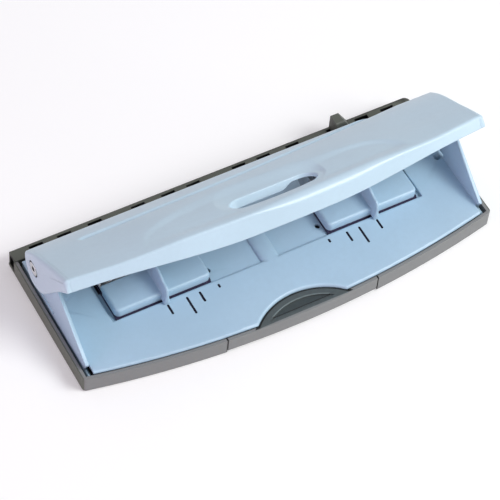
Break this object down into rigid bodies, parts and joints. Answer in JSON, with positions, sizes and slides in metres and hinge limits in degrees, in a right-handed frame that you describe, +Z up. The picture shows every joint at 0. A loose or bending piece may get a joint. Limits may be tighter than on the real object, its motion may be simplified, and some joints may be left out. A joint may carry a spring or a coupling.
{
  "type": "six-hole punch",
  "caption": "Desk punch with a long hinged handle, two sliding punch blocks on a slotted table, a rear paper rail with a sliding stop, and a hinged chip door.",
  "frame": {"origin": "under the middle of the base, on the surface that the feet stand on", "axes": "+X along the length to the user's right, -Y towards the user, +Z up"},
  "size_m": [0.2096, 0.0872, 0.0636],
  "materials": {
    "tray_plastic": "fine matte moulding",
    "rail_plastic": "fine matte moulding",
    "door_plastic": "fine matte moulding",
    "stop_plastic": "fine matte moulding",
    "housing_plastic": "satin moulding",
    "handle_plastic": "satin gloss moulding",
    "cover_plastic": "satin moulding",
    "throat_plastic": "plain moulding",
    "feet_rubber": "soft matte",
    "screw_steel": "zinc plated",
    "bar_steel": "drawn bar",
    "plate_steel": "pressed sheet",
    "pin_steel": "ground",
    "spring_steel": "spring wire and strip",
    "bush_nylon": "plain nylon",
    "insert_brass": "knurled brass"
  },
  "bodies": {
    "base": {"bottom_tray": "tray_plastic", "rubber_feet": "feet_rubber", "base_screws": "screw_steel", "table_screws": "screw_steel", "paper_rail": "rail_plastic", "rail_screws": "screw_steel", "top_housing": "housing_plastic", "guide_bar": "bar_steel", "pivot_screw_left": "screw_steel", "pivot_screw_right": "screw_steel", "pivot_bush_left": "bush_nylon", "pivot_bush_right": "bush_nylon", "pivot_insert_left": "insert_brass", "pivot_insert_right": "insert_brass"},
    "handle": {"handle_shell": "handle_plastic", "pressure_bar": "bar_steel"},
    "left_block": {"block_cover_left": "cover_plastic", "die_plate_left": "plate_steel", "throat_stop_left": "throat_plastic", "guide_plate_left": "plate_steel", "pin_bracket_left": "plate_steel", "frame_rivets_left": "screw_steel", "detent_leaf_left": "spring_steel", "pin_spring_left_1": "spring_steel", "pin_spring_left_2": "spring_steel", "pin_spring_left_3": "spring_steel"},
    "right_block": {"block_cover_right": "cover_plastic", "die_plate_right": "plate_steel", "throat_stop_right": "throat_plastic", "guide_plate_right": "plate_steel", "pin_bracket_right": "plate_steel", "frame_rivets_right": "screw_steel", "detent_leaf_right": "spring_steel", "pin_spring_right_1": "spring_steel", "pin_spring_right_2": "spring_steel", "pin_spring_right_3": "spring_steel"},
    "left_pin_1": {"punch_pin_left_1": "pin_steel", "pin_clip_left_1": "spring_steel"},
    "left_pin_2": {"punch_pin_left_2": "pin_steel", "pin_clip_left_2": "spring_steel"},
    "left_pin_3": {"punch_pin_left_3": "pin_steel", "pin_clip_left_3": "spring_steel"},
    "right_pin_1": {"punch_pin_right_1": "pin_steel", "pin_clip_right_1": "spring_steel"},
    "right_pin_2": {"punch_pin_right_2": "pin_steel", "pin_clip_right_2": "spring_steel"},
    "right_pin_3": {"punch_pin_right_3": "pin_steel", "pin_clip_right_3": "spring_steel"},
    "chip_door": {"chip_door": "door_plastic"},
    "paper_stop": {"paper_stop": "stop_plastic"}
  },
  "joints": [
    {"name": "handle_hinge", "type": "hinge", "parent": "base", "child": "handle", "pos_m": [0, 0.0178, 0.0296], "axis": [1, 0, 0], "range_deg": [0, 30], "stiffness_Nm_per_rad": 0.5, "springref_deg": -28.65},
    {"name": "left_block_slide", "type": "slide", "parent": "base", "child": "left_block", "axis": [1, 0, 0], "range_m": [-0.002, 0.0255], "deforming": ["detent_leaf_left"]},
    {"name": "right_block_slide", "type": "slide", "parent": "base", "child": "right_block", "axis": [-1, 0, 0], "range_m": [-0.002, 0.0255], "deforming": ["detent_leaf_right"]},
    {"name": "left_pin_1_slide", "type": "slide", "parent": "left_block", "child": "left_pin_1", "axis": [0, 0, -1], "range_m": [0, 0.0044], "deforming": ["pin_spring_left_1"]},
    {"name": "left_pin_2_slide", "type": "slide", "parent": "left_block", "child": "left_pin_2", "axis": [0, 0, -1], "range_m": [0, 0.0044], "deforming": ["pin_spring_left_2"]},
    {"name": "left_pin_3_slide", "type": "slide", "parent": "left_block", "child": "left_pin_3", "axis": [0, 0, -1], "range_m": [0, 0.0044], "deforming": ["pin_spring_left_3"]},
    {"name": "right_pin_1_slide", "type": "slide", "parent": "right_block", "child": "right_pin_1", "axis": [0, 0, -1], "range_m": [0, 0.0044], "deforming": ["pin_spring_right_1"]},
    {"name": "right_pin_2_slide", "type": "slide", "parent": "right_block", "child": "right_pin_2", "axis": [0, 0, -1], "range_m": [0, 0.0044], "deforming": ["pin_spring_right_2"]},
    {"name": "right_pin_3_slide", "type": "slide", "parent": "right_block", "child": "right_pin_3", "axis": [0, 0, -1], "range_m": [0, 0.0044], "deforming": ["pin_spring_right_3"]},
    {"name": "chip_door_hinge", "type": "hinge", "parent": "base", "child": "chip_door", "pos_m": [0, -0.0404, 0.0045], "axis": [1, 0, 0], "range_deg": [0, 70]},
    {"name": "paper_stop_slide", "type": "slide", "parent": "base", "child": "paper_stop", "axis": [1, 0, 0], "range_m": [-0.0505, 0.0295]}
  ],
  "couplings": [
    {"joint": "left_pin_1_slide", "follows": "handle_hinge", "m_per_rad": 0.0083093},
    {"joint": "left_pin_2_slide", "follows": "handle_hinge", "m_per_rad": 0.0083093},
    {"joint": "left_pin_3_slide", "follows": "handle_hinge", "m_per_rad": 0.0083093},
    {"joint": "right_pin_1_slide", "follows": "handle_hinge", "m_per_rad": 0.0083093},
    {"joint": "right_pin_2_slide", "follows": "handle_hinge", "m_per_rad": 0.0083093},
    {"joint": "right_pin_3_slide", "follows": "handle_hinge", "m_per_rad": 0.0083093}
  ]
}
